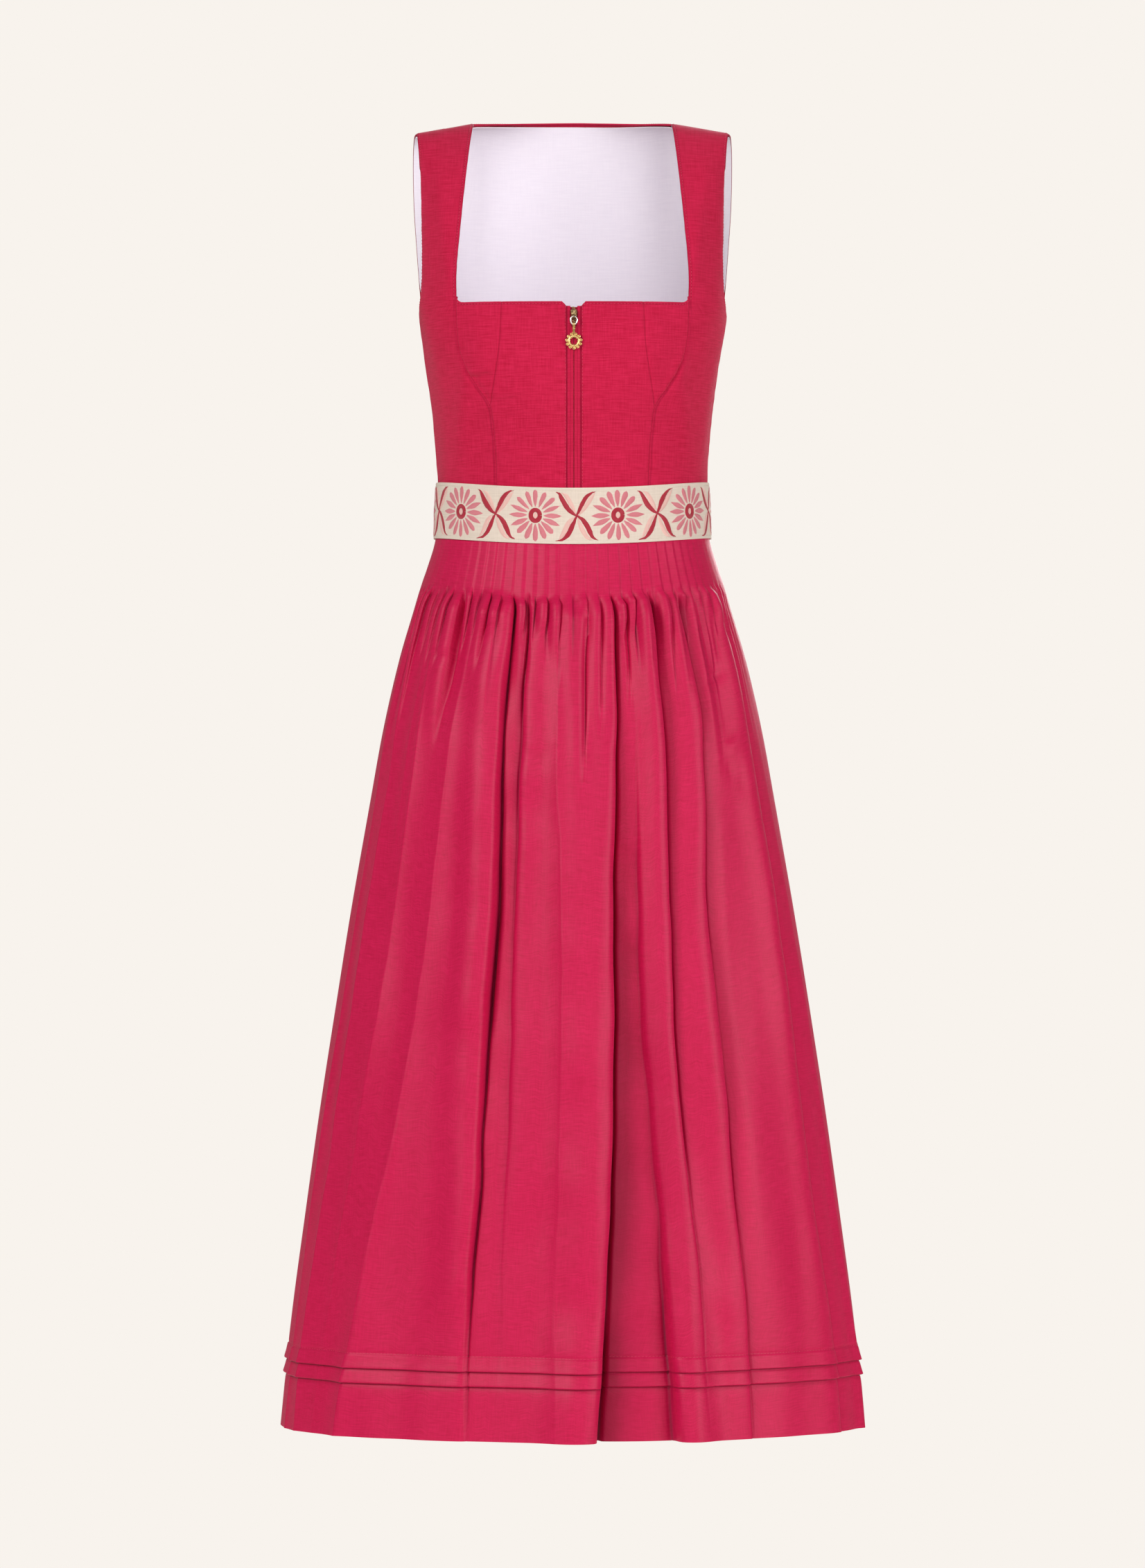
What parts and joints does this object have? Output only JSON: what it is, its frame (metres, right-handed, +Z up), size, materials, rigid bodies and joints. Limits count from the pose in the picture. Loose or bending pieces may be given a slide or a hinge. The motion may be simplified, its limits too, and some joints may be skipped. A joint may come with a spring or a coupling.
{
  "type": "dirndl",
  "caption": "Sleeveless folk dress with a zipped square-neck bodice, flowered waist ribbon and long pleated skirt, hollow as worn.",
  "frame": {"origin": "midway between the two shoulder straps, level with their undersides, above the middle of the dress's depth", "axes": "+Z up, -Y out of the front, +X to the right as seen from the front"},
  "size_m": [0.5256, 0.3726, 1.178],
  "materials": {
    "bodice_linen": "matt slubbed linen, raspberry red",
    "skirt_satin": "soft cotton satin, raspberry pink",
    "lining_cotton": "plain pale lavender cotton",
    "ribbon_cotton": "cream woven ribbon with pink and crimson embroidery",
    "aged_brass": "antique brass",
    "silver_wire": "polished silver-coloured wire",
    "gold_charm": "gold-coloured cast metal"
  },
  "bodies": {
    "garment": {"front_centre_left": "bodice_linen", "front_centre_right": "bodice_linen", "bust_panel_left": "bodice_linen", "bust_panel_right": "bodice_linen", "side_front_left": "bodice_linen", "side_front_right": "bodice_linen", "side_back_left": "bodice_linen", "side_back_right": "bodice_linen", "back_centre": "bodice_linen", "zip_lip_left": "bodice_linen", "zip_lip_right": "bodice_linen", "back_lining": "lining_cotton", "waist_ribbon_front": "ribbon_cotton", "waist_ribbon_back": "ribbon_cotton", "yoke_front": "skirt_satin", "yoke_back": "skirt_satin", "skirt_front": "skirt_satin", "skirt_back": "skirt_satin", "zip_chain": "aged_brass", "zip_slider": "aged_brass"},
    "pull_link": {"pull_link": "silver_wire"},
    "pull_charm": {"pull_charm": "gold_charm"}
  },
  "joints": [
    {"name": "link_swing", "type": "hinge", "parent": "garment", "child": "pull_link", "pos_m": [0.0012, -0.1212, -0.182], "axis": [-1, 0, 0], "range_deg": [0, 110]},
    {"name": "charm_swing", "type": "hinge", "parent": "pull_link", "child": "pull_charm", "pos_m": [0.0012, -0.1212, -0.1891], "axis": [-1, 0, 0], "range_deg": [0, 80]}
  ]
}
